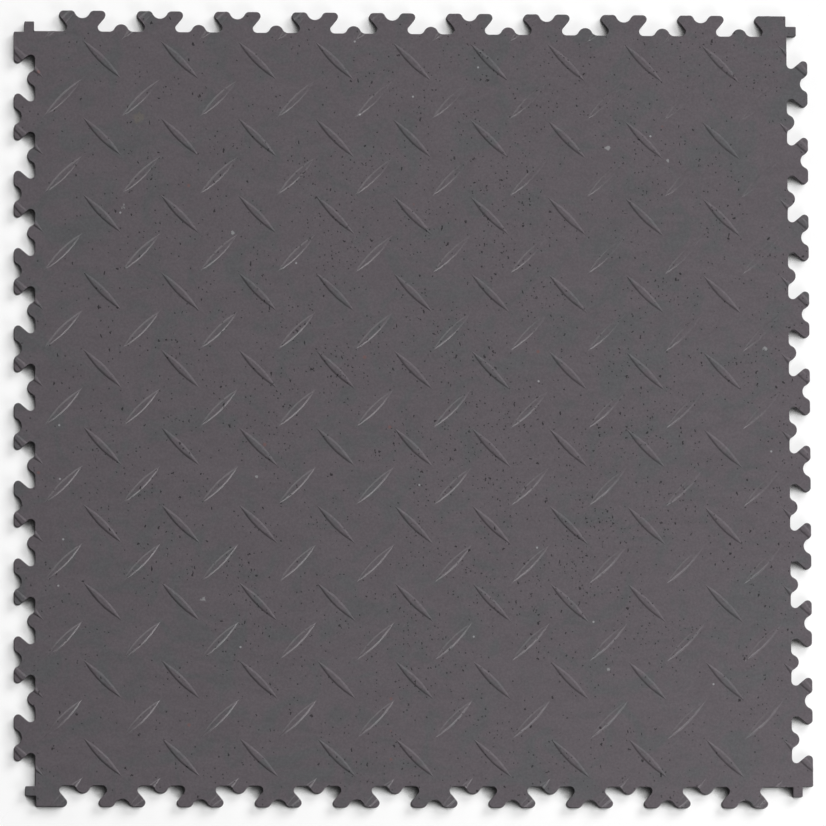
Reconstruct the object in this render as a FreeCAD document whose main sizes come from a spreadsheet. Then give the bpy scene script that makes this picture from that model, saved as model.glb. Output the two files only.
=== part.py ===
import FreeCAD, Part
import math
import os

import Sketcher

# Interlocking PVC floor tile, moulded as one piece and lying flat: +Z up, millimetres,
# origin under the middle of the tile on the plane it lies on.
#
# The edge is one period repeated: a dovetail tooth with a round notch in its tip, and a
# valley of the same form with a round bump on its floor, so that the tooth of the next
# tile fills the valley and the bump fills the notch. All four sides are the same side,
# turned by a quarter, so any side of one tile meets any side of the next. Each side ends
# in a corner block, a tooth cut off square, which carries a small peg. The pegs of four
# tiles fill the square hole that their blocks leave where the corners meet.
#
# The tread is a field of low lens-shaped bars at 45 degrees that run on across the teeth.

doc = FreeCAD.newDocument("floor_tile")

SIZES = [
    ("laid_size", 497.0),          # the tile's share of a laid floor, each way
    ("edge_periods", 10.0),        # tooth-and-valley periods along one side
    ("plate_thickness", 6.3),      # from the floor to the field between the tread bars
    ("tooth_reach", 6.5),          # how far a tooth reaches past the laid line
    ("end_clearance", 0.4),        # between a tooth's tip and the floor of its valley
    ("side_clearance", 0.2),       # between a tooth's flank and its valley
    ("head_half", 14.8),           # half the widest part of a tooth's head
    ("head_round", 2.65),          # radius of the head's outer corners
    ("lip_round", 3.1),            # radius of the lips of the notch
    ("notch_round", 5.1),          # radius of the notch's bottom
    ("notch_depth", 4.8),          # from the tooth's tip down to the notch's bottom
    ("corner_play", 0.5),          # slack of the blocks and pegs where four tiles meet
    ("root_overlap", 5.0),         # how far the edge profiles reach into the plate
    ("tread_height", 0.7),         # height of the tread bars over the field
    ("bar_length", 35.6),          # tread bar at its foot
    ("bar_width", 5.2),
    ("bar_slope", 1.2),            # how far its sides lean in from foot to crest
    ("groove_width", 3.0),         # air grooves in the underside
    ("groove_depth", 1.0),
]

sheet = doc.addObject("Spreadsheet::Sheet", "sizes")
for row, (alias, number) in enumerate(SIZES, start=1):
    sheet.set(f"A{row}", alias)
    sheet.set(f"B{row}", str(number))
    sheet.setAlias(f"B{row}", alias)
doc.recompute()

# Lengths that follow from the sheet, as expressions for the document.
PITCH = "(sizes.laid_size / sizes.edge_periods)"
VALLEY_DEPTH = "(sizes.tooth_reach + sizes.end_clearance)"
PLATE_HALF = f"(sizes.laid_size / 2 - {VALLEY_DEPTH})"
ROOT_DEPTH = f"({VALLEY_DEPTH} + sizes.root_overlap)"
NECK_HALF = f"({PITCH} / 2 - sizes.head_half - sizes.side_clearance)"
VALLEY_ROUND = "(sizes.head_round + sizes.side_clearance)"
VALLEY_START = f"({NECK_HALF} + {VALLEY_ROUND})"
FOOT_ROUND = "(sizes.lip_round + sizes.side_clearance)"
BUMP_ROUND = "(sizes.notch_round - sizes.end_clearance)"

# Where the first tooth and the first whole valley of a side stand, and where its corner
# block starts: so many periods in from the end of the laid line.
TOOTH_START = 0.75
VALLEY_MIDDLE = 1.25
CORNER_START = 0.25
PEG_PLAYS = 1.5          # corner plays between a peg's end and the end of the laid line
FIRST_TOOTH = f"(sizes.laid_size / 2 - {PITCH} * {TOOTH_START})"
FIRST_VALLEY = f"(sizes.laid_size / 2 - {PITCH} * {VALLEY_MIDDLE})"
CORNER_PLACE = f"(sizes.laid_size / 2 - {PITCH} * {CORNER_START})"
CORNER_HALF = f"({PITCH} * {CORNER_START})"

# The same lengths as numbers, for the first drawing of the sketches.
laid = float(sheet.laid_size)
pitch = laid / float(sheet.edge_periods)
reach = float(sheet.tooth_reach)
valley_depth = reach + float(sheet.end_clearance)
plate_half = laid / 2 - valley_depth
root_depth = valley_depth + float(sheet.root_overlap)
head_half = float(sheet.head_half)
head_round = float(sheet.head_round)
neck_half = pitch / 2 - head_half - float(sheet.side_clearance)
valley_round = head_round + float(sheet.side_clearance)
valley_start = neck_half + valley_round
lip_round = float(sheet.lip_round)
foot_round = lip_round + float(sheet.side_clearance)
notch_round = float(sheet.notch_round)
notch_depth = float(sheet.notch_depth)
bump_round = notch_round - float(sheet.end_clearance)
corner_play = float(sheet.corner_play)

ORIGIN = (-1, 1)
Y_AXIS = -2
START, END, CENTRE = 1, 2, 3


def vec(x, y):
    return FreeCAD.Vector(x, y, 0)


def line(x0, y0, x1, y1):
    return Part.LineSegment(vec(x0, y0), vec(x1, y1))


def arc(x, y, radius, start_degrees, end_degrees):
    circle = Part.Circle(vec(x, y), FreeCAD.Vector(0, 0, 1), radius)
    return Part.ArcOfCircle(circle, math.radians(start_degrees), math.radians(end_degrees))


def origin_feature(body, role):
    return [f for f in body.Origin.OriginFeatures if f.Role == role][0]


def new_sketch(body, name, shift_x=None, shift_y=None, level=None, turn=0.0):
    """Sketch on the body's XY plane; the shifts are expressions that stay bound."""
    sketch = body.newObject("Sketcher::SketchObject", name)
    sketch.AttachmentSupport = (origin_feature(body, "XY_Plane"), [""])
    sketch.MapMode = "FlatFace"
    sketch.AttachmentOffset = FreeCAD.Placement(
        FreeCAD.Vector(0, 0, 0), FreeCAD.Rotation(FreeCAD.Vector(0, 0, 1), turn))
    for axis, expression in (("x", shift_x), ("y", shift_y), ("z", level)):
        if expression is not None:
            sketch.setExpression(f"AttachmentOffset.Base.{axis}", expression)
    return sketch


def size_of(sketch, name, constraint, expression):
    """Add a dimension to a sketch and bind it to an expression of the sheet."""
    index = sketch.addConstraint(constraint)
    sketch.renameConstraint(index, name)
    sketch.setExpression(f"Constraints.{name}", expression)


def right_of(sketch, name, point, value, expression):
    size_of(sketch, name, Sketcher.Constraint("DistanceX", *ORIGIN, *point, value), expression)


def left_of(sketch, name, point, value, expression):
    size_of(sketch, name, Sketcher.Constraint("DistanceX", *point, *ORIGIN, value), expression)


def above(sketch, name, point, value, expression):
    size_of(sketch, name, Sketcher.Constraint("DistanceY", *ORIGIN, *point, value), expression)


def below(sketch, name, point, value, expression):
    size_of(sketch, name, Sketcher.Constraint("DistanceY", *point, *ORIGIN, value), expression)


def radius_of(sketch, name, geometry, value, expression):
    size_of(sketch, name, Sketcher.Constraint("Radius", geometry, value), expression)


def join(sketch, *pairs):
    for first, second in pairs:
        sketch.addConstraint(Sketcher.Constraint("Coincident", *first, *second))


def smooth(sketch, *pairs):
    for first, second in pairs:
        sketch.addConstraint(Sketcher.Constraint("Tangent", *first, *second))


def level_lines(sketch, *geometry):
    for index in geometry:
        sketch.addConstraint(Sketcher.Constraint("Horizontal", index))


def upright_lines(sketch, *geometry):
    for index in geometry:
        sketch.addConstraint(Sketcher.Constraint("Vertical", index))


def pad(body, name, sketch, expression):
    feature = body.newObject("PartDesign::Pad", name)
    feature.Profile = sketch
    feature.setExpression("Length", expression)
    return feature


def row_of(body, name, sketch, axis, count, length):
    feature = body.newObject("PartDesign::LinearPattern", name)
    feature.Direction = (sketch, [axis])
    feature.setExpression("Occurrences", count)
    feature.setExpression("Length", length)
    return feature


def turn_of(body, name, count, angle):
    feature = body.newObject("PartDesign::PolarPattern", name)
    feature.Axis = (origin_feature(body, "Z_Axis"), [""])
    feature.Angle = angle
    feature.Occurrences = count
    return feature


def repeat(body, name, original, steps):
    """Repeat one feature by several patterns, one after the other."""
    feature = body.newObject("PartDesign::MultiTransform", name)
    feature.Originals = [original]
    feature.Transformations = steps
    body.Tip = feature
    return feature


def mirror_half(body, name, sketch):
    feature = body.newObject("PartDesign::Mirrored", name)
    feature.MirrorPlane = (sketch, ["V_Axis"])
    return feature


# Blank: the plate with its edge, up to the field between the tread bars.
blank = doc.addObject("PartDesign::Body", "blank")

plate_sketch = new_sketch(blank, "plate_outline")
plate_sketch.addGeometry([
    line(-plate_half, -plate_half, plate_half, -plate_half),
    line(plate_half, -plate_half, plate_half, plate_half),
    line(plate_half, plate_half, -plate_half, plate_half),
    line(-plate_half, plate_half, -plate_half, -plate_half),
])
join(plate_sketch, ((0, END), (1, START)), ((1, END), (2, START)),
     ((2, END), (3, START)), ((3, END), (0, START)))
level_lines(plate_sketch, 0, 2)
upright_lines(plate_sketch, 1, 3)
right_of(plate_sketch, "right", (1, START), plate_half, PLATE_HALF)
left_of(plate_sketch, "left", (3, START), plate_half, PLATE_HALF)
above(plate_sketch, "far", (2, START), plate_half, PLATE_HALF)
below(plate_sketch, "near", (0, START), plate_half, PLATE_HALF)
pad(blank, "plate", plate_sketch, "sizes.plate_thickness")

# Tooth: half of it is drawn, with its middle on the sketch's upright axis and the laid
# line as its level axis. The flare is the tangent between the hollow of the valley's
# corner and the round of the head, and the lip runs straight into the notch.
valley_centre_y = valley_round - valley_depth
head_centre_x = head_half - head_round
head_centre_y = reach - head_round
flare_run = math.hypot(head_centre_x - valley_start, head_centre_y - valley_centre_y)
flare_lie = math.atan2(head_centre_y - valley_centre_y, head_centre_x - valley_start)
flare_angle = math.degrees(flare_lie + math.acos((valley_round + head_round) / flare_run))
flare_cos = math.cos(math.radians(flare_angle))
flare_sin = math.sin(math.radians(flare_angle))
flare_foot = (valley_start + valley_round * flare_cos, valley_centre_y + valley_round * flare_sin)
flare_top = (head_centre_x - head_round * flare_cos, head_centre_y - head_round * flare_sin)

notch_rise = lip_round + notch_round - notch_depth
lip_x = math.sqrt((lip_round + notch_round) ** 2 - notch_rise ** 2)
lip_angle = math.degrees(math.atan2(notch_rise, -lip_x))
notch_bottom = reach - notch_depth

tooth_sketch = new_sketch(blank, "tooth_half",
                          shift_x=f"-{FIRST_TOOTH}",
                          shift_y="sizes.laid_size / 2")
tooth_sketch.addGeometry([
    line(0, -root_depth, valley_start, -root_depth),
    line(valley_start, -root_depth, valley_start, -valley_depth),
    arc(valley_start, valley_centre_y, valley_round, flare_angle, 270),
    line(*flare_foot, *flare_top),
    arc(head_centre_x, head_centre_y, head_round, flare_angle - 180, 90),
    line(head_centre_x, reach, lip_x, reach),
    arc(lip_x, reach - lip_round, lip_round, 90, lip_angle),
    arc(0, notch_bottom + notch_round, notch_round, 270, lip_angle + 180),
    line(0, notch_bottom, 0, -root_depth),
])
join(tooth_sketch, ((0, START), (8, END)), ((0, END), (1, START)),
     ((1, END), (2, END)), ((7, START), (8, START)))
level_lines(tooth_sketch, 0, 5)
upright_lines(tooth_sketch, 1, 8)
tooth_sketch.addConstraint(Sketcher.Constraint("Vertical", 2, CENTRE, 2, END))
tooth_sketch.addConstraint(Sketcher.Constraint("PointOnObject", 7, CENTRE, Y_AXIS))
tooth_sketch.addConstraint(Sketcher.Constraint("PointOnObject", 7, START, Y_AXIS))
smooth(tooth_sketch, ((2, START), (3, START)), ((3, END), (4, START)),
       ((4, END), (5, START)), ((5, END), (6, START)), ((6, END), (7, END)))
radius_of(tooth_sketch, "valley_radius", 2, valley_round, VALLEY_ROUND)
radius_of(tooth_sketch, "head_radius", 4, head_round, "sizes.head_round")
radius_of(tooth_sketch, "lip_radius", 6, lip_round, "sizes.lip_round")
radius_of(tooth_sketch, "notch_radius", 7, notch_round, "sizes.notch_round")
right_of(tooth_sketch, "valley_place", (1, START), valley_start, VALLEY_START)
right_of(tooth_sketch, "head_place", (4, CENTRE), head_centre_x,
         "sizes.head_half - sizes.head_round")
below(tooth_sketch, "root", (0, START), root_depth, ROOT_DEPTH)
below(tooth_sketch, "valley_floor", (1, END), valley_depth, VALLEY_DEPTH)
above(tooth_sketch, "tip", (5, START), reach, "sizes.tooth_reach")
size_of(tooth_sketch, "notch",
        Sketcher.Constraint("DistanceY", 7, START, 5, START, notch_depth), "sizes.notch_depth")

tooth = pad(blank, "tooth", tooth_sketch, "sizes.plate_thickness")
repeat(blank, "teeth", tooth, [
    mirror_half(blank, "tooth_other_half", tooth_sketch),
    row_of(blank, "tooth_row", tooth_sketch, "H_Axis", "sizes.edge_periods - 1",
           f"{PITCH} * (sizes.edge_periods - 2)"),
    turn_of(blank, "tooth_sides", 4, 360),
])
doc.recompute()

# Bump: half of it, on the floor of a valley, with the same rise as the notch is deep.
bump_fall = bump_round + foot_round - notch_depth
foot_x = math.sqrt((bump_round + foot_round) ** 2 - bump_fall ** 2)
foot_angle = math.degrees(math.atan2(-bump_fall, -foot_x)) % 360
bump_top = notch_depth - valley_depth

bump_sketch = new_sketch(blank, "bump_half",
                         shift_x=f"-{FIRST_VALLEY}",
                         shift_y="sizes.laid_size / 2")
bump_sketch.addGeometry([
    line(0, -root_depth, foot_x, -root_depth),
    line(foot_x, -root_depth, foot_x, -valley_depth),
    arc(foot_x, foot_round - valley_depth, foot_round, foot_angle, 270),
    arc(0, bump_top - bump_round, bump_round, foot_angle - 180, 90),
    line(0, bump_top, 0, -root_depth),
])
join(bump_sketch, ((0, START), (4, END)), ((0, END), (1, START)),
     ((1, END), (2, END)), ((3, END), (4, START)))
level_lines(bump_sketch, 0)
upright_lines(bump_sketch, 1, 4)
bump_sketch.addConstraint(Sketcher.Constraint("Vertical", 2, CENTRE, 2, END))
bump_sketch.addConstraint(Sketcher.Constraint("PointOnObject", 3, CENTRE, Y_AXIS))
bump_sketch.addConstraint(Sketcher.Constraint("PointOnObject", 3, END, Y_AXIS))
smooth(bump_sketch, ((2, START), (3, START)))
radius_of(bump_sketch, "foot_radius", 2, foot_round, FOOT_ROUND)
radius_of(bump_sketch, "bump_radius", 3, bump_round, BUMP_ROUND)
below(bump_sketch, "root", (0, START), root_depth, ROOT_DEPTH)
below(bump_sketch, "valley_floor", (1, END), valley_depth, VALLEY_DEPTH)
size_of(bump_sketch, "rise",
        Sketcher.Constraint("DistanceY", 1, END, 3, END, notch_depth), "sizes.notch_depth")

bump = pad(blank, "bump", bump_sketch, "sizes.plate_thickness")
repeat(blank, "bumps", bump, [
    mirror_half(blank, "bump_other_half", bump_sketch),
    row_of(blank, "bump_row", bump_sketch, "H_Axis", "sizes.edge_periods - 1",
           f"{PITCH} * (sizes.edge_periods - 2)"),
    turn_of(blank, "bump_sides", 4, 360),
])
doc.recompute()

# Corner block and peg: the block is the left half of a tooth, cut off in line with the
# plate, and the peg stands out from it over the end of the next side.
corner_half = pitch * CORNER_START
block_end = corner_half - valley_depth - corner_play
peg_top = -corner_play / 2
peg_end = corner_half - PEG_PLAYS * corner_play
peg_foot = corner_play - valley_depth
plate_edge = corner_half - valley_depth

corner_sketch = new_sketch(blank, "corner_block_and_peg",
                           shift_x=CORNER_PLACE,
                           shift_y="sizes.laid_size / 2")
corner_sketch.addGeometry([
    line(-valley_start, -root_depth, -valley_start, -valley_depth),
    arc(-valley_start, valley_centre_y, valley_round, 270, 540 - flare_angle),
    line(-flare_foot[0], flare_foot[1], -flare_top[0], flare_top[1]),
    arc(-head_centre_x, head_centre_y, head_round, 90, 360 - flare_angle),
    line(-head_centre_x, reach, block_end, reach),
    line(block_end, reach, block_end, peg_top),
    line(block_end, peg_top, peg_end, peg_top),
    line(peg_end, peg_top, peg_end, peg_foot),
    line(peg_end, peg_foot, plate_edge, peg_foot),
    line(plate_edge, peg_foot, plate_edge, -root_depth),
    line(plate_edge, -root_depth, -valley_start, -root_depth),
])
join(corner_sketch, ((0, END), (1, START)), ((4, END), (5, START)), ((5, END), (6, START)),
     ((6, END), (7, START)), ((7, END), (8, START)), ((8, END), (9, START)),
     ((9, END), (10, START)), ((10, END), (0, START)))
level_lines(corner_sketch, 4, 6, 8, 10)
upright_lines(corner_sketch, 0, 5, 7, 9)
corner_sketch.addConstraint(Sketcher.Constraint("Vertical", 1, CENTRE, 1, START))
smooth(corner_sketch, ((1, END), (2, START)), ((2, END), (3, END)), ((3, START), (4, START)))
radius_of(corner_sketch, "valley_radius", 1, valley_round, VALLEY_ROUND)
radius_of(corner_sketch, "head_radius", 3, head_round, "sizes.head_round")
left_of(corner_sketch, "valley_place", (0, START), valley_start, VALLEY_START)
left_of(corner_sketch, "head_place", (3, CENTRE), head_centre_x,
        "sizes.head_half - sizes.head_round")
below(corner_sketch, "root", (0, START), root_depth, ROOT_DEPTH)
below(corner_sketch, "valley_floor", (0, END), valley_depth, VALLEY_DEPTH)
above(corner_sketch, "tip", (4, START), reach, "sizes.tooth_reach")
right_of(corner_sketch, "block_end", (5, START), block_end,
         f"{CORNER_HALF} - {VALLEY_DEPTH} - sizes.corner_play")
below(corner_sketch, "peg_top", (6, START), -peg_top, "sizes.corner_play / 2")
right_of(corner_sketch, "peg_end", (7, START), peg_end, f"{CORNER_HALF} - {PEG_PLAYS} * sizes.corner_play")
below(corner_sketch, "peg_foot", (8, START), -peg_foot, f"{VALLEY_DEPTH} - sizes.corner_play")
right_of(corner_sketch, "plate_edge", (9, START), plate_edge, f"{CORNER_HALF} - {VALLEY_DEPTH}")

corner = pad(blank, "corner", corner_sketch, "sizes.plate_thickness")
repeat(blank, "corners", corner, [turn_of(blank, "corner_sides", 4, 360)])
doc.recompute()

# Underside: a closed grid of shallow air grooves, one line under each row of teeth.
GROOVE_REACH = f"({PITCH} * (sizes.edge_periods - 1) / 2 + sizes.groove_width / 2)"
groove_reach = pitch * (float(sheet.edge_periods) - 1) / 2 + float(sheet.groove_width) / 2
groove_half = float(sheet.groove_width) / 2
groove_sketch = new_sketch(blank, "groove_outline",
                           shift_y=f"-{PITCH} * (sizes.edge_periods - 1) / 2")
groove_sketch.addGeometry([
    line(-groove_reach, -groove_half, groove_reach, -groove_half),
    line(groove_reach, -groove_half, groove_reach, groove_half),
    line(groove_reach, groove_half, -groove_reach, groove_half),
    line(-groove_reach, groove_half, -groove_reach, -groove_half),
])
join(groove_sketch, ((0, END), (1, START)), ((1, END), (2, START)),
     ((2, END), (3, START)), ((3, END), (0, START)))
level_lines(groove_sketch, 0, 2)
upright_lines(groove_sketch, 1, 3)
right_of(groove_sketch, "right", (1, START), groove_reach, GROOVE_REACH)
left_of(groove_sketch, "left", (3, START), groove_reach, GROOVE_REACH)
above(groove_sketch, "far", (2, START), groove_half, "sizes.groove_width / 2")
below(groove_sketch, "near", (0, START), groove_half, "sizes.groove_width / 2")

groove = blank.newObject("PartDesign::Pocket", "groove")
groove.Profile = groove_sketch
groove.Reversed = True
groove.setExpression("Length", "sizes.groove_depth")
repeat(blank, "grooves", groove, [
    row_of(blank, "groove_row", groove_sketch, "V_Axis", "sizes.edge_periods",
           f"{PITCH} * (sizes.edge_periods - 1)"),
    turn_of(blank, "groove_ways", 2, 90),
])
doc.recompute()

# Tread bar: a lens with sloped sides. Its foot and its crest are arcs about the same two
# centres, so each side is part of a cone, and the bar is what two such cones share.
BAR_RADIUS = "(((sizes.bar_length / 2)^2 + (sizes.bar_width / 2)^2) / sizes.bar_width)"


def bar_side(name, way):
    cone = doc.addObject("Part::Cone", name)
    cone.setExpression("Radius1", BAR_RADIUS)
    cone.setExpression("Radius2", f"{BAR_RADIUS} - sizes.bar_slope")
    cone.setExpression("Height", "sizes.tread_height")
    cone.setExpression("Placement.Base.y", f"{way} * ({BAR_RADIUS} - sizes.bar_width / 2)")
    return cone


bar = doc.addObject("Part::Common", "tread_bar")
bar.Base = bar_side("bar_upper_side", -1)
bar.Tool = bar_side("bar_lower_side", 1)
doc.recompute()

# The bars of the whole tread, each bar half-way between the bars of the other direction.
# They run on past the teeth here and are then cut by the outline of the blank.
tread = doc.addObject("Part::Feature", "tread")
periods = int(sheet.edge_periods)
line_places = [(step - periods / 2) * pitch for step in range(periods + 1)]
middle_places = [(step - (periods - 1) / 2) * pitch for step in range(periods)]
field_level = float(sheet.plate_thickness)


def bar_copy(x, y, turn):
    copy = bar.Shape.copy()
    copy.Placement = FreeCAD.Placement(
        FreeCAD.Vector(x, y, field_level), FreeCAD.Rotation(FreeCAD.Vector(0, 0, 1), turn))
    return copy


rising_bars = [bar_copy(x, y, 45) for x in middle_places for y in line_places]
falling_bars = [bar_copy(x, y, -45) for x in line_places for y in middle_places]
tread.Shape = Part.makeCompound(rising_bars + falling_bars)

outline = doc.addObject("App::Link", "outline_above")
outline.LinkedObject = blank
outline.setExpression("Placement.Base.z", "sizes.tread_height")
trimmed = doc.addObject("Part::Common", "trimmed_tread")
trimmed.Base = tread
trimmed.Tool = outline
doc.recompute()

tile = doc.addObject("Part::Fuse", "floor_tile")
tile.Label = "floor_tile"
tile.Base = blank
tile.Tool = trimmed
tile.Refine = True
doc.recompute()

for thing in doc.Objects:
    if "Invalid" in thing.State or "Error" in thing.State:
        raise RuntimeError(f"{thing.Label} did not build: {thing.State}")
for sketch in doc.findObjects("Sketcher::SketchObject"):
    if not sketch.FullyConstrained:
        raise RuntimeError(f"the sketch {sketch.Label} is not fully constrained")
for solid_name, thing in (("blank", blank), ("floor_tile", tile)):
    shape = thing.Shape
    if shape.isNull() or not shape.isValid() or len(shape.Solids) != 1:
        raise RuntimeError(f"{solid_name} is not one valid solid")

box = tile.Shape.optimalBoundingBox()
print(f"floor_tile: {box.XLength:.2f} x {box.YLength:.2f} x {box.ZLength:.2f} mm, "
      f"{tile.Shape.Volume / 1000:.1f} cm3, {len(tile.Shape.Faces)} faces")

os.makedirs("parts", exist_ok=True)
tile.Shape.exportStep("parts/floor_tile.step")
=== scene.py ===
# %% [markdown]
# # An interlocking PVC floor tile
#
# This lesson dresses one CAD part: a square floor tile, moulded in one piece from recycled PVC.
# Its edge is a row of dovetail teeth and valleys, and its tread is a field of low lens-shaped bars.
# The CAD solid gives the frame and the size. Here the same tile gets rounded edges, soft bars and
# the mottled, pitted skin of recycled plastic, and it is photographed on a white floor.

# %% Load the frame
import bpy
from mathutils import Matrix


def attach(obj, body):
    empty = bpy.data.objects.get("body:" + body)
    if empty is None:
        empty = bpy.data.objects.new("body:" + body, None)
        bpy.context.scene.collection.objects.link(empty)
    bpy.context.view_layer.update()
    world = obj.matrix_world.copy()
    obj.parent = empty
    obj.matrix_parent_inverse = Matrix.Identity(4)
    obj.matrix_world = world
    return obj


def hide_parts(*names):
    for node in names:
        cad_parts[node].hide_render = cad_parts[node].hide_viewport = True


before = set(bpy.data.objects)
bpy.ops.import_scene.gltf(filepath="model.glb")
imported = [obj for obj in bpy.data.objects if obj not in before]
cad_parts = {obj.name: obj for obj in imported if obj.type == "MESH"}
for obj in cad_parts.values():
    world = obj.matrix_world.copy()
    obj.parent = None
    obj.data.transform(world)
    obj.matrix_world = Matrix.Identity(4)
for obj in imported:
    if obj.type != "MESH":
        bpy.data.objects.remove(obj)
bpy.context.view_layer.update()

# %% [markdown]
# ## Sizes
#
# All lengths are millimetres, the unit that such a tile is drawn in, and the mesh is scaled to
# metres once, at the end. The sizes are those of the CAD source, so the edge of this mesh lies on
# the edge of the solid.

# %% The tile's own sizes
import bmesh
import bpy
import math
import numpy as np
from mathutils import Matrix, Vector
from mathutils.geometry import delaunay_2d_cdt

MM = 0.001
laid_size = 497.0          # the tile's share of a laid floor, each way
periods = 10               # tooth-and-valley periods along one side
pitch = laid_size / periods
plate_top = 6.3            # the field between the tread bars
tooth_reach = 6.5          # from the laid line to a tooth's tip
valley_depth = 6.9         # from the laid line to a valley's floor
side_clearance = 0.2       # between a tooth's flank and its valley
corner_play = 0.5          # slack of the blocks and pegs where four tiles meet
laid_half = laid_size / 2
print("pitch", pitch, "mm, over everything", laid_size + 2 * tooth_reach, "mm")

# %% [markdown]
# ## The outline as one path
#
# The edge is made of arcs that run into each other. An arc is worked out as a whole array: its
# centre plus its radius times the cosine and sine of an evenly stepped angle. Walking clockwise
# round the tile, a clockwise arc is a round corner and its normal points away from its centre.
# An anticlockwise arc is a hollow and its normal points to its centre. Keeping the normals makes
# it easy to draw the same outline a little further in, which the rounded edge needs later.

# %% Arcs and paths
ARC_STEP = 11.0            # degrees between the points of an arc


def arc(centre, radius, start, end):
    """Points centre + radius * (cos a, sin a), a from start to end degrees, with their outward normals."""
    count = max(3, int(round(abs(end - start) / ARC_STEP)) + 1)
    angle = np.radians(np.linspace(start, end, count))
    ray = np.column_stack([np.cos(angle), np.sin(angle)])
    away = 1.0 if end < start else -1.0
    return np.hstack([np.array(centre) + radius * ray, away * ray])


def path(*parts):
    """Rows of x, y, normal x, normal y one after the other, without the points where two parts meet."""
    rows = np.vstack(parts)
    step = np.linalg.norm(np.diff(rows[:, :2], axis=0), axis=1)
    return rows[np.append(True, step > 1e-3)]


def moved(rows, x, y=0.0):
    return rows + np.array([x, y, 0.0, 0.0])


def mirrored(rows, x):
    """The same path on the other side of the upright line at x, still walked from left to right."""
    other = rows[::-1] * np.array([-1.0, 1.0, -1.0, 1.0])
    return moved(other, 2 * x)


# %% [markdown]
# ## One period of the edge
#
# Each period holds a valley with a round bump on its floor and a dovetail tooth with a round notch
# in its tip. The bump of one tile fills the notch of the next, and the tooth fills the valley, so
# each radius of the valley is the radius of the tooth plus the clearance. Half a period is enough:
# bump, foot, corner of the valley, round of the head, lip, notch. The rest is its mirror image.

# %% Half a period, from the middle of a valley to the middle of a tooth
head_half = 14.8           # half the widest part of a tooth
head_round = 2.65
lip_round = 3.1
notch_round = 5.1
notch_depth = 4.8
end_clearance = valley_depth - tooth_reach
valley_round = head_round + side_clearance
foot_round = lip_round + side_clearance
bump_round = notch_round - end_clearance

bump_centre = np.array([0.0, notch_depth - valley_depth - bump_round])
foot_up = foot_round - valley_depth
foot_along = math.sqrt((bump_round + foot_round) ** 2 - (foot_up - bump_centre[1]) ** 2)
foot_centre = np.array([foot_along, foot_up])
foot_turn = math.degrees(math.atan2(*(foot_centre - bump_centre)[::-1]))

head_centre = np.array([pitch / 2 - head_half + head_round, tooth_reach - head_round])
valley_centre = np.array([head_half + side_clearance - valley_round, valley_round - valley_depth])
gap = head_centre - valley_centre
flare_turn = math.degrees(math.atan2(gap[1], gap[0])
                          - math.acos((valley_round + head_round) / np.hypot(*gap)))

notch_centre = np.array([pitch / 2, tooth_reach - notch_depth + notch_round])
lip_up = tooth_reach - lip_round
lip_along = pitch / 2 - math.sqrt((lip_round + notch_round) ** 2 - (notch_centre[1] - lip_up) ** 2)
lip_centre = np.array([lip_along, lip_up])
lip_turn = math.degrees(math.atan2(*(notch_centre - lip_centre)[::-1]))

bump = path(arc(bump_centre, bump_round, 90, foot_turn),
            arc(foot_centre, foot_round, foot_turn + 180, 270))
flank = path(arc(valley_centre, valley_round, -90, flare_turn),
             arc(head_centre, head_round, flare_turn + 180, 90))
lip = path(arc(lip_centre, lip_round, 90, lip_turn),
           arc(notch_centre, notch_round, lip_turn + 180, 270))
half_period = path(bump, flank, lip)
whole_period = path(half_period, mirrored(half_period, pitch / 2))
print("points in one period", len(whole_period))

# %% [markdown]
# ## One side, then four
#
# A side starts at its left end with a plain stretch, runs through nine teeth and nine valleys and
# ends in a corner block: the left half of a tooth, cut off square, with a small peg beside it. The
# four sides are this one side turned by quarter turns, which is why any two edges fit together.

# %% The whole outline
CORNER_ROUND = 0.55        # more than the upper edge's rounding takes away


def square_corner(x, y, arrive, turn):
    """The small arc of a right-angled corner at x, y: its centre lies one radius back along the way in and
    one radius along the way out. Arrive is the way in, in degrees, and turn is -90 or 90."""
    come = np.array([math.cos(math.radians(arrive)), math.sin(math.radians(arrive))])
    leave = np.array([math.cos(math.radians(arrive + turn)), math.sin(math.radians(arrive + turn))])
    centre = np.array([x, y]) - CORNER_ROUND * come + CORNER_ROUND * leave
    start = arrive + (90 if turn < 0 else -90)
    return arc(centre, CORNER_ROUND, start, start + turn)


plate_half = laid_half - valley_depth
block_end = plate_half - corner_play
peg_end = laid_half - 1.5 * corner_play
peg_top = -corner_play / 2
peg_foot = corner_play - valley_depth
first_valley = -(periods / 2 - 0.25) * pitch
last_valley = (periods / 2 - 0.75) * pitch

side = path(
    square_corner(-(laid_half + peg_foot), -valley_depth, -90, 90),
    moved(path(flank, lip), first_valley),
    moved(mirrored(half_period, pitch / 2), first_valley),
    *[moved(whole_period, first_valley + number * pitch) for number in range(1, periods - 1)],
    moved(path(bump, flank), last_valley),
    square_corner(block_end, tooth_reach, 0, -90),
    square_corner(block_end, peg_top, -90, 90),
    square_corner(peg_end, peg_top, 0, -90),
    square_corner(peg_end, peg_foot, -90, -90),
)
side = moved(side, 0.0, laid_half)


def quarter_turns(rows, count):
    """Rows turned clockwise about the middle of the tile, count times a quarter turn."""
    turn = np.linalg.matrix_power(np.array([[0.0, -1.0], [1.0, 0.0]]), count)
    return np.hstack([rows[:, :2] @ turn, rows[:, 2:] @ turn])


outline = path(*[quarter_turns(side, count) for count in range(4)])
print("outline points", len(outline), "reach", np.round(np.abs(outline[:, :2]).max(axis=0), 3))

# %% [markdown]
# ## The tread bars
#
# A bar is a lens: what two large circles share. The depth of a point inside the lens is how far it
# lies inside the nearer of the two circles. The height of the tread is a ramp of that depth, with
# its foot and its crest rounded: nothing at the foot, full height once the point is one slope's
# width inside. Bars of the two directions take turns, each half-way between those of the other.

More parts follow.
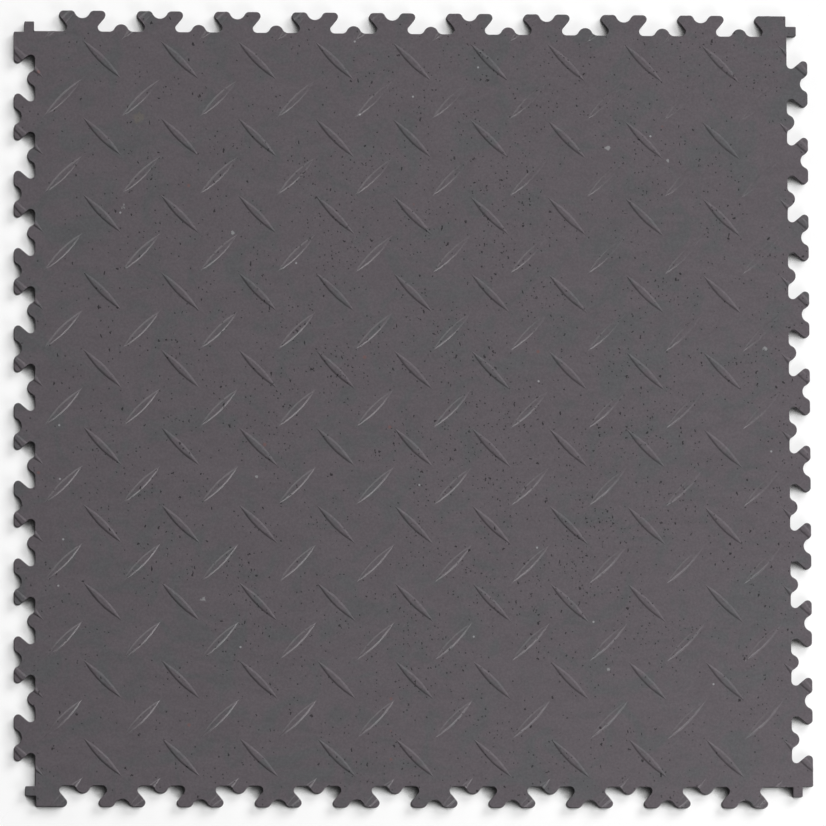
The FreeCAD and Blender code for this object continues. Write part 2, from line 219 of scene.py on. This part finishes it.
# %% Height of the tread at any point
bar_length, bar_width, tread_height = 35.6, 5.2, 0.7
bar_slope = 1.77           # from foot to crest, with their rounding; the CAD source has a plain 1.2
FOOT_SHARE = 0.17          # shares of the slope that are rounded, at its foot and at its crest
CREST_SHARE = 0.51
lens_radius = ((bar_length / 2) ** 2 + (bar_width / 2) ** 2) / bar_width
lens_offset = lens_radius - bar_width / 2
DIAGONAL = math.sqrt(0.5)


def lens_depth(along, across):
    """Radius of the lens's circles less the distance from the further of their two centres."""
    return lens_radius - np.hypot(along, np.abs(across) + lens_offset)


def tread(x, y):
    """Height over the field, by the depth inside the nearest bars: parabola, straight ramp, parabola."""
    middle_x, middle_y = (np.floor(x / pitch) + 0.5) * pitch, (np.floor(y / pitch) + 0.5) * pitch
    line_x, line_y = np.round(x / pitch) * pitch, np.round(y / pitch) * pitch
    rise_x, rise_y = (x - middle_x) * DIAGONAL, (y - line_y) * DIAGONAL
    fall_x, fall_y = (x - line_x) * DIAGONAL, (y - middle_y) * DIAGONAL
    depth = np.maximum(lens_depth(rise_x + rise_y, rise_y - rise_x),
                       lens_depth(fall_x - fall_y, fall_x + fall_y))
    share = np.clip(depth / bar_slope, 0.0, 1.0)
    in_foot, in_crest = np.maximum(FOOT_SHARE - share, 0.0), np.maximum(share - 1.0 + CREST_SHARE, 0.0)
    rise = share - FOOT_SHARE / 2 + in_foot ** 2 / (2 * FOOT_SHARE) - in_crest ** 2 / (2 * CREST_SHARE)
    return tread_height * rise / (1.0 - (FOOT_SHARE + CREST_SHARE) / 2)


# %% Contour lines of one bar, and of all bars
CONTOURS = bar_slope * np.array([0.0, FOOT_SHARE, 1.0 - CREST_SHARE, 1.0])     # depths inside the lens
CONTOUR_STEPS = 7


def contour(depth):
    """Both arcs of the lens at one depth as a closed loop: across = offset - sqrt(radius^2 - along^2)."""
    radius = lens_radius - depth
    tip = math.sqrt(radius ** 2 - lens_offset ** 2)
    along = tip * np.linspace(-1.0, 1.0, CONTOUR_STEPS + 1)
    across = lens_offset - np.sqrt(radius ** 2 - along ** 2)
    one_way = np.column_stack([along[:-1], across[:-1]])
    return np.vstack([one_way, -one_way])


one_bar = np.vstack([contour(depth) for depth in CONTOURS])
loop = 2 * CONTOUR_STEPS
index = np.arange(len(one_bar)).reshape(len(CONTOURS), loop)
round_loops = np.column_stack([index.ravel(), np.roll(index, -1, axis=1).ravel()])
ridges = np.vstack([np.column_stack([index[:-1, tip], index[1:, tip]]) for tip in (0, CONTOUR_STEPS)])
bar_edges = np.vstack([round_loops, ridges])

on_lines = (np.arange(periods + 1) - periods / 2) * pitch
on_middles = (np.arange(periods) - (periods - 1) / 2) * pitch
rising_places = np.array(np.meshgrid(on_middles, on_lines)).reshape(2, -1).T
falling_places = np.array(np.meshgrid(on_lines, on_middles)).reshape(2, -1).T
rising = one_bar @ (DIAGONAL * np.array([[1.0, 1.0], [-1.0, 1.0]]))
falling = one_bar @ (DIAGONAL * np.array([[1.0, -1.0], [1.0, 1.0]]))
bar_points = np.vstack([(rising_places[:, None] + rising).reshape(-1, 2),
                        (falling_places[:, None] + falling).reshape(-1, 2)])
bar_count = len(rising_places) + len(falling_places)
all_bar_edges = (np.arange(bar_count)[:, None, None] * len(one_bar) + bar_edges).reshape(-1, 2)
print("bars", bar_count, "contour points", len(bar_points))

# %% [markdown]
# ## The top skin
#
# The top is a height over a flat drawing: the outline, drawn a little further in, and the contour
# lines of all bars. A Delaunay triangulation that has to keep these lines turns the drawing into
# triangles, also where the outline cuts a bar in two. The height of each corner then comes from
# the formula above.

# %% Triangulate the top
EDGE_ROUND = 0.4           # radius of the tile's upper edge
EDGE_REST = 0.12           # flat strip inside it, so that the rounding doesn't shade the field
INSIDE_ONLY = 1            # the kind of result: triangles inside the outline
SAME_POINT = 1e-5          # points nearer than this are one


def triangulate(points, edges, loops):
    """Points and triangles of a Delaunay triangulation that keeps the given lines: of all triangles, those
    whose list of enclosing loops isn't empty."""
    made = delaunay_2d_cdt(points.tolist(), edges.tolist(), loops, INSIDE_ONLY, SAME_POINT, True)
    flat = np.array([tuple(p) for p in made[0]])
    corners = np.array(made[2])
    corners = corners[np.array([len(inside) > 0 for inside in made[5]])]
    used, corners = np.unique(corners, return_inverse=True)
    return flat[used], corners.reshape(-1, 3)


inset = outline[:, :2] - (EDGE_ROUND + EDGE_REST) * outline[:, 2:]
drawing = np.vstack([inset, bar_points])
top_xy, top_faces = triangulate(drawing, all_bar_edges + len(inset), [list(range(len(inset)))[::-1]])
top = np.column_stack([top_xy, plate_top + tread(*top_xy.T)])
print("top skin", len(top), "points", len(top_faces), "triangles")

# %% [markdown]
# ## The walls
#
# The wall is a profile carried round the rim of the top skin: a quarter circle for the rounded
# upper edge, a straight drop, and a small bevel at the foot. Each ring is the whole rim moved along
# its own normals. Where a cut bar reaches the rim, the upper rings rise with it.

# %% Rim, normals and rings
FOOT_BEVEL = 0.3           # at the lower edge of the walls
ROUND_STEPS = 4            # strips across the rounded upper edge


def open_edges(faces, count):
    """Directed edges of the triangles that no other triangle runs through the other way."""
    start, end = faces.ravel(), np.roll(faces, -1, axis=1).ravel()
    alone = ~np.isin(start * count + end, end * count + start)
    return np.column_stack([start[alone], end[alone]])


def in_order(edges):
    """Point numbers of a closed rim in walking order. Each point learns how many steps it is from point 0
    by asking the point ahead, then the one that this one asked, twice as far each time."""
    names, local = np.unique(edges, return_inverse=True)
    local = local.reshape(-1, 2)
    ahead, steps = np.zeros(len(names), dtype=int), np.ones(len(names), dtype=int)
    ahead[local[:, 0]] = local[:, 1]
    ahead[0], steps[0] = 0, 0
    for _ in range(len(names).bit_length()):
        steps, ahead = steps + steps[ahead], ahead[ahead]
    return names[np.argsort(-steps)]


def walked(points):
    """Length walked from the first point to each of the next, and back to the first at the end."""
    step = np.linalg.norm(np.roll(points, -1, axis=0) - points, axis=1)
    return np.concatenate([[0.0], np.cumsum(step)])


rim = in_order(open_edges(top_faces, len(top)))[::-1]
rim = np.roll(rim, -np.argmin(np.linalg.norm(top_xy[rim] - inset[0], axis=1)))
rim_xy = top_xy[rim]
drawn, found = walked(inset), walked(rim_xy)[:-1]
drawn_normals = np.vstack([outline[:, 2:], outline[:1, 2:]])
rim_normal = np.column_stack([np.interp(found, drawn, drawn_normals[:, way]) for way in (0, 1)])
rim_normal /= np.linalg.norm(rim_normal, axis=1)[:, None]

bend = np.radians(np.linspace(0.0, 90.0, ROUND_STEPS + 1))
full = EDGE_REST + EDGE_ROUND
ring_out = np.concatenate([EDGE_REST + EDGE_ROUND * np.sin(bend), [full, full - FOOT_BEVEL]])
ring_z = np.concatenate([plate_top - EDGE_ROUND * (1 - np.cos(bend)), [FOOT_BEVEL, 0.0]])
ring_xy = rim_xy + ring_out[:, None, None] * rim_normal
ring_lift = np.where(ring_z > plate_top / 2, 1.0, 0.0)[:, None]
rings = np.dstack([ring_xy, ring_z[:, None] + ring_lift * tread(ring_xy[..., 0], ring_xy[..., 1])])


def strip(upper, lower):
    """Four-sided faces between two rings of point numbers."""
    return np.column_stack([upper, np.roll(upper, -1), np.roll(lower, -1), lower])


ring_ids = len(top) + np.arange(rings.shape[0] * len(rim)).reshape(rings.shape[0], -1)
wall_faces = np.vstack([strip(upper, lower) for upper, lower in zip([rim, *ring_ids[:-1]], ring_ids)])
print("rim points", len(rim), "wall faces", len(wall_faces))
print("length of the rim", round(walked(rim_xy)[-1], 3), "mm, as drawn", round(drawn[-1], 3), "mm")

# %% [markdown]
# ## The underside
#
# Tiles of this kind have shallow grooves below that let air and damp pass. The photograph doesn't
# show them, so they are those of the CAD source: a closed grid, one line under each row of teeth.
# The underside is made as the top is, from a flat drawing and a height.

# %% Grooved underside
groove_half, groove_depth, groove_draft = 1.5, 1.0, 0.2
groove_reach = (periods - 1) / 2 * pitch


def groove(x, y):
    """Depth of the groove grid: full once a point is the draft's width inside a groove."""
    reach = groove_reach + groove_half
    off_x, off_y = (np.abs(v - (np.floor(v / pitch) + 0.5) * pitch) for v in (x, y))
    inside_x = np.minimum(groove_half - off_x, reach - np.maximum(np.abs(x), np.abs(y)))
    inside_y = np.minimum(groove_half - off_y, reach - np.maximum(np.abs(x), np.abs(y)))
    return groove_depth * np.clip(np.maximum(inside_x, inside_y) / groove_draft, 0.0, 1.0)


groove_middles = np.arange(periods) * pitch - groove_reach
groove_lines = []
for inner in (0.0, groove_draft):
    end = groove_reach + groove_half - inner
    for offset in (-groove_half + inner, groove_half - inner):
        walls = np.column_stack([np.tile([-end, end], periods), np.repeat(groove_middles + offset, 2)])
        groove_lines += [walls, walls[:, ::-1]]
groove_points = np.vstack(groove_lines)
groove_edges = len(rim) + np.arange(len(groove_points)).reshape(-1, 2)
foot_drawing = np.vstack([ring_xy[-1], groove_points])
foot_xy, foot_faces = triangulate(foot_drawing, groove_edges, [list(range(len(rim)))[::-1]])
foot = np.column_stack([foot_xy, groove(*foot_xy.T)])
print("underside", len(foot), "points", len(foot_faces), "triangles, groove depth", foot[:, 2].max())

# %% [markdown]
# ## One closed mesh
#
# Top, walls and underside share their borders, so points that fall on each other are merged. A
# closed mesh has exactly two faces at each edge, and faces that point outwards give it a positive
# volume.

# %% Build the tile
MERGE_WITHIN = 0.002       # points nearer than this are merged
tile_mesh = bpy.data.meshes.new("tile_skin")
skin_points = np.vstack([top, rings.reshape(-1, 3), foot]) * MM
foot_ids = foot_faces[:, ::-1] + len(top) + rings.shape[0] * len(rim)
all_faces = top_faces.tolist() + wall_faces.tolist() + foot_ids.tolist()
tile_mesh.from_pydata(skin_points.tolist(), [], all_faces)
skin = bmesh.new()
skin.from_mesh(tile_mesh)
bmesh.ops.remove_doubles(skin, verts=skin.verts, dist=MERGE_WITHIN * MM)
print("volume", round(skin.calc_volume(signed=True) * 1e6, 1), "cm3")
skin.to_mesh(tile_mesh)
skin.free()

edge_of_corner = np.zeros(len(tile_mesh.loops), dtype=np.int32)
tile_mesh.loops.foreach_get("edge_index", edge_of_corner)
print("edges with other than two faces", int((np.bincount(edge_of_corner) != 2).sum()))

face_count = len(tile_mesh.polygons)
face_normals = np.zeros(face_count * 3, dtype=np.float32)
tile_mesh.polygons.foreach_get("normal", face_normals)
not_below = face_normals.reshape(-1, 3)[:, 2] > -0.5
tile_mesh.polygons.foreach_set("use_smooth", not_below)
tile_mesh.update()

# %% [markdown]
# Few faces are enough for a bar if its shading is exact. The height is a formula, so its gradient
# gives the true normal anywhere: minus the slope along x, minus the slope along y, and one. Each
# corner of a face of the top takes the normal a hundredth of a millimetre inside that face, which
# keeps the ridge at a bar's ends crisp. The other faces keep the normals they have.

# %% Exact normals for the top
JUST_INSIDE = 0.01         # how far inside its face a corner reads the slope
SLOPE_STEP = 0.004         # the slope is the rise over twice this step
corner_count = len(tile_mesh.loops)
corner_points, sizes = np.zeros(corner_count, int), np.zeros(face_count, int)
tile_mesh.loops.foreach_get("vertex_index", corner_points)
tile_mesh.polygons.foreach_get("loop_total", sizes)
point_places, middles = np.zeros(len(tile_mesh.vertices) * 3), np.zeros(face_count * 3)
tile_mesh.vertices.foreach_get("co", point_places)
tile_mesh.polygons.foreach_get("center", middles)

face_of_corner = np.repeat(np.arange(face_count), sizes)
corner_xy = point_places.reshape(-1, 3)[corner_points, :2] / MM
inwards = middles.reshape(-1, 3)[face_of_corner, :2] / MM - corner_xy
inwards /= np.maximum(np.linalg.norm(inwards, axis=1), 1e-9)[:, None]
in_x, in_y = (corner_xy + JUST_INSIDE * inwards).T
slope_x = (tread(in_x + SLOPE_STEP, in_y) - tread(in_x - SLOPE_STEP, in_y)) / (2 * SLOPE_STEP)
slope_y = (tread(in_x, in_y + SLOPE_STEP) - tread(in_x, in_y - SLOPE_STEP)) / (2 * SLOPE_STEP)
exact = np.column_stack([-slope_x, -slope_y, np.ones(corner_count)])
exact /= np.linalg.norm(exact, axis=1)[:, None]
exact[face_of_corner >= len(top_faces)] = 0.0
tile_mesh.normals_split_custom_set(exact.tolist())
steepest = math.degrees(math.acos(exact[exact[:, 2] > 0, 2].min()))
print("steepest slope of a bar", round(steepest, 1), "degrees")

# %% Hand the tile over
tile = bpy.data.objects.new("tile_skin", tile_mesh)
bpy.context.scene.collection.objects.link(tile)
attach(tile, "root")
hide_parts("floor_tile")
tile_mesh.calc_loop_triangles()
print("triangles", len(tile_mesh.loop_triangles))

# %% [markdown]
# ## Recycled PVC
#
# The real material is ground and remelted waste: a dark grey that wanders between a cooler and a
# browner tone, faint streaks where the melt flowed, many small open pits, and a few flecks of
# another plastic. All of it is worked out from object coordinates, so it stays on the tile from
# every side. Pits are balls scattered in space (the cells of a Voronoi pattern): the surface cuts
# each at another height, which makes large and small pits without a second pattern.

# %% Nodes for the material
pvc = bpy.data.materials.new("recycled_pvc")
pvc.use_nodes = True
nodes, links = pvc.node_tree.nodes, pvc.node_tree.links
nodes.clear()


def node(kind, inputs=(), **settings):
    """A node with its settings, and its inputs set to numbers or linked to other nodes' outputs."""
    made = nodes.new("ShaderNode" + kind)
    for name, value in settings.items():
        setattr(made, name, value)
    for name, value in dict(inputs).items():
        socket = made.inputs[name]
        if isinstance(value, bpy.types.NodeSocket):
            links.new(value, socket)
        else:
            socket.default_value = value
    return made


def maths(operation, first, second=0.0, third=0.0):
    return node("Math", {0: first, 1: second, 2: third}, operation=operation).outputs[0]


def between(value, low, high, out_low=0.0, out_high=1.0):
    """Turn the range low..high into out_low..out_high with soft ends."""
    spread = node("MapRange", {"Value": value, "From Min": low, "From Max": high, "To Min": out_low,
                               "To Max": out_high}, interpolation_type="SMOOTHSTEP")
    return spread.outputs["Result"]


def blend_colours(factor, first, second):
    mixed = node("Mix", {"Factor": factor}, data_type="RGBA")
    for socket, value in zip([mixed.inputs[6], mixed.inputs[7]], [first, second]):
        if isinstance(value, bpy.types.NodeSocket):
            links.new(value, socket)
        else:
            socket.default_value = (*value, 1.0)
    return mixed.outputs[2]


place = node("TexCoord").outputs["Object"]


def noise(size_mm, detail=2.0, roughness=0.5, distortion=0.0, vector=place):
    """Noise with features of about size_mm."""
    made = node("TexNoise", {"Vector": vector, "Scale": 1000.0 / size_mm, "Detail": detail,
                             "Roughness": roughness, "Distortion": distortion})
    return made.outputs["Fac"]


def stretched(scale, turn):
    """Object coordinates turned about Z by that many radians and scaled, which draws a pattern out."""
    made = node("Mapping", {"Vector": place, "Scale": scale, "Rotation": (0.0, 0.0, turn)})
    return made.outputs["Vector"]


# %% [markdown]
# The ground tone: two greys in large soft clouds, then lighter and darker streaks, then a fine grain.

# %% Ground tone
cool_grey = (0.1065, 0.1055, 0.1112)
brown_grey = (0.1197, 0.1059, 0.1162)
clouds = between(noise(size_mm=30.0, detail=4.0, roughness=0.6, distortion=1.4), 0.34, 0.54)
tone = blend_colours(clouds, cool_grey, brown_grey)
flow = stretched(scale=(0.5, 1.3, 1.0), turn=0.6)
streaks = between(noise(size_mm=24.0, detail=5.0, roughness=0.62, distortion=2.6, vector=flow),
                  0.30, 0.70, out_low=0.96, out_high=1.04)
grain = between(noise(size_mm=1.5, detail=3.0, roughness=0.75), 0.3, 0.7, out_low=0.90, out_high=1.10)
shade = maths("MULTIPLY", streaks, grain)

# %% [markdown]
# Pits: tiny ones all over, larger round ones, and some that the flow has drawn out. Real pits are torn
# open and not round, so noise pushes the coordinates to and fro before the balls are cut. A cloud
# pattern decides what share of the cells hold a pit, which gathers them in loose swarms, and there are
# most of them a little right of the middle. A few specks of rust red and of white are made the same way.
# Their darker colour is painted shade inside the pits.

# %% Pits and small specks
SWARM_CENTRE = (0.060, 0.0, 0.0)          # metres
RUST_RED = (0.20, 0.095, 0.085)
DOT_WHITE = (0.34, 0.34, 0.35)


def balls(spacing_mm, radius_mm, share, vector=place, dimensions="3D"):
    """1 inside balls of that radius, one to a cell of that spacing, in only that share of the cells."""
    cells = node("TexVoronoi", {"Vector": vector, "Scale": 1000.0 / spacing_mm, "Randomness": 1.0},
                 voronoi_dimensions=dimensions)
    chosen = maths("LESS_THAN", node("SeparateColor", {"Color": cells.outputs["Color"]}).outputs[0], share)
    ball = between(cells.outputs["Distance"], radius_mm / spacing_mm, 0.5 * radius_mm / spacing_mm)
    return maths("MULTIPLY", ball, chosen)


def ragged(vector, size_mm, sway_mm):
    """The vector moved by up to about sway_mm each way by noise, which makes balls ragged."""
    sway = node("TexNoise", {"Vector": vector, "Scale": 1000.0 / size_mm, "Detail": 1.0}).outputs["Color"]
    middle = node("VectorMath", {0: sway, 1: (0.5, 0.5, 0.5)}, operation="SUBTRACT").outputs["Vector"]
    push = node("VectorMath", {0: middle, "Scale": 3.0 * sway_mm * MM}, operation="SCALE").outputs["Vector"]
    return node("VectorMath", {0: vector, 1: push}, operation="ADD").outputs["Vector"]


from_centre = node("VectorMath", {0: place, 1: SWARM_CENTRE}, operation="DISTANCE").outputs["Value"]
thinning = between(from_centre, 0.10, 0.33, out_low=0.62, out_high=0.22)
gathered = between(noise(size_mm=42.0, detail=3.0), 0.36, 0.64, out_low=0.12, out_high=1.0)
swarms = maths("MULTIPLY", gathered, thinning)
some_swarms = maths("MULTIPLY", swarms, 0.30)
drawn_out = stretched(scale=(1.5, 0.70, 1.0), turn=0.7)
tiny_pits = balls(2.5, 0.74, swarms, ragged(place, size_mm=1.1, sway_mm=0.35))
round_pits = balls(4.4, 1.05, some_swarms, ragged(place, size_mm=1.5, sway_mm=0.9))
long_pits = balls(5.2, 1.10, some_swarms, ragged(drawn_out, size_mm=1.5, sway_mm=0.9))
pits = maths("MAXIMUM", maths("MAXIMUM", round_pits, long_pits), maths("MULTIPLY", tiny_pits, 0.72))
# the streaks and grain, and in the pits the colour falls to a third: painted shade in the recess
tone_and_pit_shade = maths("MULTIPLY", shade, between(pits, 0.0, 1.0, out_low=1.0, out_high=0.33))
base = node("VectorMath", {0: tone, "Scale": tone_and_pit_shade}, operation="SCALE").outputs["Vector"]
rust_specks = balls(16.0, 1.5, share=0.07)
base = blend_colours(maths("MULTIPLY", rust_specks, 0.5), base, RUST_RED)
white_dots = balls(38.0, 0.85, share=0.13, dimensions="2D")
base = blend_colours(maths("MULTIPLY", white_dots, 0.8), base, DOT_WHITE)

# %% [markdown]
# Eight larger flecks of pale plastic lie in the surface, and one faint tan patch. Each is a soft
# spot about a place on the tile, with its rim broken up by noise.

# %% Pale flecks
FLECK_PALE = (0.27, 0.27, 0.275)
PATCH_TAN = (0.165, 0.145, 0.120)
fleck_rim = noise(size_mm=2.2, detail=2.0, roughness=0.6)
PALE_FLECKS = (            # x, y, half width in mm
    (125.5, 169.0, 1.9), (164.5, 161.0, 1.2), (226.3, 40.0, 1.7), (-185.4, 128.7, 1.7),
    (-115.1, 112.0, 1.7), (-135.0, -122.7, 1.8), (124.4, -166.5, 1.4), (-100.5, -44.3, 1.2),
)
TAN_PATCH = (-175.2, 186.1, 4.2)


def fleck(x, y, half):
    """1 within about half a width of a place on the tile's face: the distance to it plus noise, cut off."""
    away = node("VectorMath", {0: place, 1: (x * MM, y * MM, plate_top * MM)}, operation="DISTANCE")
    uneven = maths("MULTIPLY_ADD", fleck_rim, 2.4 * half * MM, away.outputs["Value"])
    return between(uneven, 2.2 * half * MM, 1.6 * half * MM)


flecks = 0.0
for pale in PALE_FLECKS:
    flecks = maths("MAXIMUM", fleck(*pale), flecks)
base = blend_colours(maths("MULTIPLY", flecks, 0.85), base, FLECK_PALE)
base = blend_colours(maths("MULTIPLY", fleck(*TAN_PATCH), 0.45), base, PATCH_TAN)

# %% [markdown]
# The skin isn't quite flat: a fine grain, a long low wave from moulding, and the pits, which go down.
# Three Bump nodes in a row add them up, each with its depth in metres. The shader is a plain plastic
# with a satin gloss, a little duller where the tone is browner.

# %% Skin relief and shader
GRAIN_DEPTH, WAVE_DEPTH, PIT_DEPTH = 0.06 * MM, 0.4 * MM, 0.35 * MM
PVC_IOR = 1.46


def relief(height, depth, strength, below=None, invert=False):
    """Normal of a Bump node: the slope of the height tilts the normal of the relief below it."""
    inputs = {"Height": height, "Distance": depth, "Strength": strength}
    if below is not None:
        inputs["Normal"] = below
    return node("Bump", inputs, invert=invert).outputs["Normal"]


grain_relief = relief(noise(size_mm=0.8, detail=3.0, roughness=0.6), GRAIN_DEPTH, 0.35)
wave_relief = relief(noise(size_mm=14.0, detail=2.0, roughness=0.5), WAVE_DEPTH, 0.5, below=grain_relief)
pit_relief = relief(pits, PIT_DEPTH, 0.35, below=wave_relief, invert=True)
roughness = between(clouds, 0.0, 1.0, out_low=0.21, out_high=0.24)
skin_shader = node("BsdfPrincipled", {"Base Color": base, "Roughness": roughness, "Normal": pit_relief,
                                      "IOR": PVC_IOR})
node("OutputMaterial", {"Surface": skin_shader.outputs["BSDF"]})
tile_mesh.materials.append(pvc)
print("nodes in the material", len(nodes))

# %% [markdown]
# ## The stage
#
# A white floor and a white world. The camera sees the floor partly lit and partly glowing, so that it
# goes to white and still shows the tile's shadow. Close to the walls it also gets a contact shade: an
# Ambient Occlusion node, turned towards the main lamp, tells how much of that part of the sky the tile
# hides within 9 mm, which gives the dark hooks in the valleys. Other rays see a grey floor, so it throws
# little light back at the walls. Away from the tile the floor fades into the white behind it.

# %% Floor
FLOOR_HALF = 30.0          # metres
FLOOR_DROP = 0.0002        # metres below the tile, so that the two faces don't fall on each other
FADE_FROM, FADE_TO = 0.42, 0.75     # metres from the tile's middle
CONTACT_REACH = 0.009      # metres
WHITE = (1.0, 1.0, 1.0, 1.0)
floor_mesh = bpy.data.meshes.new("floor")
floor_corners = FLOOR_HALF * np.array([(-1, -1), (1, -1), (1, 1), (-1, 1)])
floor_mesh.from_pydata([(x, y, -FLOOR_DROP) for x, y in floor_corners], [], [(0, 1, 2, 3)])
floor = bpy.data.objects.new("floor", floor_mesh)
bpy.context.scene.collection.objects.link(floor)

paper = bpy.data.materials.new("white_paper")
paper.use_nodes = True
nodes, links = paper.node_tree.nodes, paper.node_tree.links
nodes.clear()


def mix(share, first, second):
    """The first shader at share 0 and the second at share 1."""
    return node("MixShader", {0: share, 1: first, 2: second}).outputs["Shader"]


seen = node("LightPath").outputs["Is Camera Ray"]
spot = node("VectorMath", {0: node("TexCoord").outputs["Object"]}, operation="LENGTH").outputs["Value"]
far = between(spot, FADE_FROM, FADE_TO)
to_key = node("CombineXYZ", {"X": 0.45, "Y": 0.55, "Z": 0.70}).outputs["Vector"]
sky = node("AmbientOcclusion", {"Normal": to_key, "Distance": CONTACT_REACH}, samples=16)
contact = between(sky.outputs["AO"], 0.29, 0.56, out_low=0.02, out_high=1.0)
lit = node("BsdfDiffuse", {"Color": contact}).outputs["BSDF"]
glow = node("Emission", {"Color": contact, "Strength": 1.0}).outputs["Emission"]
white = node("Emission", {"Color": WHITE, "Strength": 1.0}).outputs["Emission"]
dull = node("BsdfDiffuse", {"Color": (0.30, 0.30, 0.30, 1.0)}).outputs["BSDF"]
shown = mix(far, mix(0.6, lit, glow), white)
node("OutputMaterial", {"Surface": mix(seen, dull, shown)})
floor_mesh.materials.append(paper)

# %% World
world = bpy.data.worlds.new("studio")
bpy.context.scene.world = world
world.use_nodes = True
nodes, links = world.node_tree.nodes, world.node_tree.links
nodes.clear()
around = node("Background", {"Color": (0.05, 0.05, 0.05, 1.0), "Strength": 1.0}).outputs["Background"]
behind = node("Background", {"Color": WHITE, "Strength": 1.0}).outputs["Background"]
node("OutputWorld", {"Surface": mix(node("LightPath").outputs["Is Camera Ray"], around, behind)})

# %% [markdown]
# ## Light
#
# The photograph has its main light at the upper right: shadows fall to the lower left, the right
# half of the tile is lighter, and slopes that face the lower left are dark. Slopes that face the
# lower right and the upper left still catch a little light, so two weaker lamps stand there.
#
# In life one lamp both lights a surface and is mirrored in it. Here the two are set apart. Three matt
# lamps light the skin and have no reflection. Two small near ones give only the glints on the bars.
# Because they are near, each bar turns another part of its flank to them, and the glints fade
# towards the right, as in the photograph.

# %% Lamps


def lamp(name, towards, height, distance_m, size_m, watts, glint_only=False):
    """A lamp of width and height size_m that looks at the tile. Towards and height are its angles about
    and above the floor, in degrees, so it stands at distance * (cos h cos t, cos h sin t, sin h)."""
    light = bpy.data.lights.new(name, "AREA")
    light.shape = "ELLIPSE"
    light.size, light.size_y = size_m
    light.energy = watts
    made = bpy.data.objects.new(name, light)
    turn, up = math.radians(towards), math.radians(height)
    flat = math.cos(up)
    made.location = distance_m * Vector((flat * math.cos(turn), flat * math.sin(turn), math.sin(up)))
    made.rotation_euler = (-made.location).to_track_quat("-Z", "Y").to_euler()
    made.visible_camera = False
    made.visible_diffuse = not glint_only
    made.visible_glossy = glint_only
    bpy.context.scene.collection.objects.link(made)
    print(name, watts, "W at", [round(v, 2) for v in made.location])


lamp("key_upper_right", 46.0, 40.5, distance_m=4.9, size_m=(3.0, 3.0), watts=243.0)
lamp("side_lower_right", -43.7, 38.8, distance_m=1.46, size_m=(0.75, 0.75), watts=8.4)
lamp("glint_lower_right", -46.0, 35.8, distance_m=0.84, size_m=(0.50, 0.30), watts=1.65, glint_only=True)
lamp("side_upper_left", 134.0, 19.4, distance_m=2.7, size_m=(2.0, 2.0), watts=18.2)
lamp("glint_upper_left", 134.0, 29.0, distance_m=0.95, size_m=(0.7, 0.7), watts=1.8, glint_only=True)

# %% [markdown]
# ## Camera
#
# The photograph looks down on the tile from a little towards its lower left, with a long lens, and
# shows its outline as a square. The camera keeps a longer distance still, where the tilt of 8 degrees
# hardly draws the square out of shape. Its axes are built from the line of sight: level, square to
# that line, and then turned by the small roll.

# %% Camera
camera = bpy.data.objects.new("camera", bpy.data.cameras.new("camera"))
bpy.context.scene.collection.objects.link(camera)
bpy.context.scene.camera = camera
tilt, towards, roll = math.radians(8.0), math.radians(37.0), math.radians(-0.24)
distance = 7.0
aim = Vector((-0.0002, -0.0028, plate_top * MM))
back = Vector((-math.sin(towards) * math.sin(tilt), -math.cos(towards) * math.sin(tilt), math.cos(tilt)))
level = Vector((0.0, 1.0, 0.0))
upright = (level - level.dot(back) * back).normalized()
sideways = upright.cross(back)
upright, sideways = (upright * math.cos(roll) - sideways * math.sin(roll),
                     sideways * math.cos(roll) + upright * math.sin(roll))
camera.location = aim + distance * back
camera.rotation_euler = Matrix((sideways, upright, back)).transposed().to_euler()
camera.data.lens = 478.0       # mm
camera.data.clip_end = 100.0
print("camera at", [round(v, 3) for v in camera.location])

bpy.context.scene.view_settings.view_transform = "Standard"
